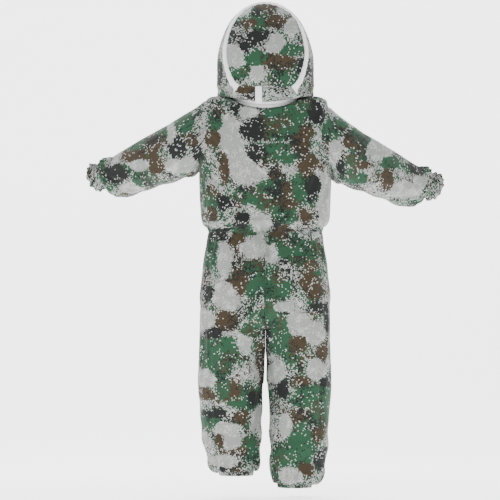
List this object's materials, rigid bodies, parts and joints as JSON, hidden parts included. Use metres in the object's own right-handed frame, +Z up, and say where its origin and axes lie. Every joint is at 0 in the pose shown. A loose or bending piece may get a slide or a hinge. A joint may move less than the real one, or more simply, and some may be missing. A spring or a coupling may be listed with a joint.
{
  "type": "beekeeping suit",
  "caption": "One-piece camouflage beekeeping suit with elastic waist, wrists and ankles, a full front zip and a round zip-on veil hood held open by hoops.",
  "frame": {"origin": "middle of the neckline, level with the shoulders, where the wearer's shoulders or a hanger carry the suit", "axes": "+Z up, the wearer faces -Y, so +X is the wearer's left"},
  "size_m": [1.2517, 0.4802, 1.697],
  "materials": {
    "camouflage_cloth": "matt printed twill",
    "elastic": "knitted elastic",
    "white_tape": "white woven tape",
    "zip_teeth": "white moulded teeth",
    "zip_slider": "plated metal",
    "veil": "black knitted mesh",
    "hoop_wire": "spring steel"
  },
  "bodies": {
    "torso": {"back_bodice_panel": "camouflage_cloth", "left_front_bodice_panel": "camouflage_cloth", "right_front_bodice_panel": "camouflage_cloth", "waist_casing": "camouflage_cloth", "waist_elastic": "elastic", "left_back_seat_panel": "camouflage_cloth", "right_back_seat_panel": "camouflage_cloth", "left_front_seat_panel": "camouflage_cloth", "right_front_seat_panel": "camouflage_cloth", "rear_pocket": "camouflage_cloth", "chest_pocket": "camouflage_cloth", "left_front_zip_tape": "white_tape", "right_front_zip_tape": "white_tape", "front_zip_teeth": "zip_teeth", "neck_zip_lower_tape": "white_tape", "neck_zip_lower_teeth": "zip_teeth", "left_sleeve_head": "camouflage_cloth", "right_sleeve_head": "camouflage_cloth", "left_hip_sleeve": "camouflage_cloth", "right_hip_sleeve": "camouflage_cloth"},
    "front_slider": {"front_zip_slider": "zip_slider"},
    "front_pull": {"front_zip_pull": "zip_slider"},
    "throat_closure": {"throat_flap": "camouflage_cloth"},
    "hood": {"hood_skirt": "camouflage_cloth", "hood_back_panel": "camouflage_cloth", "hood_crown_band": "camouflage_cloth", "veil_mesh": "veil", "neck_zip_upper_tape": "white_tape", "neck_zip_upper_teeth": "zip_teeth", "rear_hoop_binding": "white_tape", "rear_hoop_wire": "hoop_wire", "front_hoop_binding": "white_tape", "front_hoop_wire": "hoop_wire", "neck_tab": "white_tape"},
    "left_neck_slider": {"left_neck_zip_slider": "zip_slider"},
    "left_neck_pull": {"left_neck_zip_pull": "zip_slider"},
    "left_upper_arm": {"left_upper_sleeve": "camouflage_cloth", "left_elbow": "camouflage_cloth"},
    "left_forearm": {"left_lower_sleeve": "camouflage_cloth", "left_wrist_casing": "camouflage_cloth", "left_wrist_elastic": "elastic"},
    "left_upper_leg": {"left_thigh": "camouflage_cloth", "left_knee": "camouflage_cloth"},
    "left_shin": {"left_lower_leg": "camouflage_cloth", "left_ankle_casing": "camouflage_cloth", "left_ankle_elastic": "elastic"},
    "right_neck_slider": {"right_neck_zip_slider": "zip_slider"},
    "right_neck_pull": {"right_neck_zip_pull": "zip_slider"},
    "right_upper_arm": {"right_upper_sleeve": "camouflage_cloth", "right_elbow": "camouflage_cloth"},
    "right_forearm": {"right_lower_sleeve": "camouflage_cloth", "right_wrist_casing": "camouflage_cloth", "right_wrist_elastic": "elastic"},
    "right_upper_leg": {"right_thigh": "camouflage_cloth", "right_knee": "camouflage_cloth"},
    "right_shin": {"right_lower_leg": "camouflage_cloth", "right_ankle_casing": "camouflage_cloth", "right_ankle_elastic": "elastic"}
  },
  "joints": [
    {"name": "front_zip", "type": "slide", "parent": "torso", "child": "front_slider", "axis": [0, 0, -1], "range_m": [0, 0.5787]},
    {"name": "front_pull_swing", "type": "hinge", "parent": "front_slider", "child": "front_pull", "pos_m": [0, -0.1421, -0.129], "axis": [-1, 0, 0], "range_deg": [0, 120]},
    {"name": "hood_tilt", "type": "hinge", "parent": "torso", "child": "hood", "pos_m": [0, 0.114, -0.031], "axis": [-1, 0, 0], "range_deg": [0, 110]},
    {"name": "throat_flap_open", "type": "hinge", "parent": "torso", "child": "throat_closure", "pos_m": [0.024, -0.14129, -0.11299], "axis": [0, 0.4045, 0.9145], "range_deg": [0, 120]},
    {"name": "left_neck_zip", "type": "hinge", "parent": "torso", "child": "left_neck_slider", "pos_m": [0, -0.01, 0.014], "axis": [0, -0.5, 0.866], "range_deg": [0, 68]},
    {"name": "left_neck_pull_swing", "type": "hinge", "parent": "left_neck_slider", "child": "left_neck_pull", "pos_m": [0.02702, -0.11457, -0.04638], "axis": [0, 0.5, -0.866], "range_deg": [0, 110]},
    {"name": "left_shoulder", "type": "hinge", "parent": "torso", "child": "left_upper_arm", "pos_m": [0.215, 0, -0.126], "axis": [0, -1, 0], "range_deg": [-25, 70], "deforming": ["left_sleeve_head"]},
    {"name": "left_elbow", "type": "hinge", "parent": "left_upper_arm", "child": "left_forearm", "pos_m": [0.44, -0.172, -0.21067], "axis": [-0.2291, 0.1833, -0.956], "range_deg": [0, 55], "deforming": ["left_elbow"]},
    {"name": "left_hip", "type": "hinge", "parent": "torso", "child": "left_upper_leg", "pos_m": [0.121, 0, -0.74], "axis": [-1, 0, 0], "range_deg": [-20, 60], "deforming": ["left_hip_sleeve"]},
    {"name": "left_knee", "type": "hinge", "parent": "left_upper_leg", "child": "left_shin", "pos_m": [0.121, 0, -1.1], "axis": [1, 0, 0], "range_deg": [0, 50], "deforming": ["left_knee"]},
    {"name": "right_neck_zip", "type": "hinge", "parent": "torso", "child": "right_neck_slider", "pos_m": [0, -0.01, 0.014], "axis": [0, 0.5, -0.866], "range_deg": [0, 68]},
    {"name": "right_neck_pull_swing", "type": "hinge", "parent": "right_neck_slider", "child": "right_neck_pull", "pos_m": [-0.02702, -0.11457, -0.04638], "axis": [0, -0.5, 0.866], "range_deg": [0, 110]},
    {"name": "right_shoulder", "type": "hinge", "parent": "torso", "child": "right_upper_arm", "pos_m": [-0.215, 0, -0.146], "axis": [0, 1, 0], "range_deg": [-25, 70], "deforming": ["right_sleeve_head"]},
    {"name": "right_elbow", "type": "hinge", "parent": "right_upper_arm", "child": "right_forearm", "pos_m": [-0.44, -0.172, -0.2377], "axis": [-0.2486, -0.1988, 0.948], "range_deg": [0, 55], "deforming": ["right_elbow"]},
    {"name": "right_hip", "type": "hinge", "parent": "torso", "child": "right_upper_leg", "pos_m": [-0.121, 0, -0.74], "axis": [-1, 0, 0], "range_deg": [-20, 60], "deforming": ["right_hip_sleeve"]},
    {"name": "right_knee", "type": "hinge", "parent": "right_upper_leg", "child": "right_shin", "pos_m": [-0.121, 0, -1.1], "axis": [1, 0, 0], "range_deg": [0, 50], "deforming": ["right_knee"]}
  ]
}
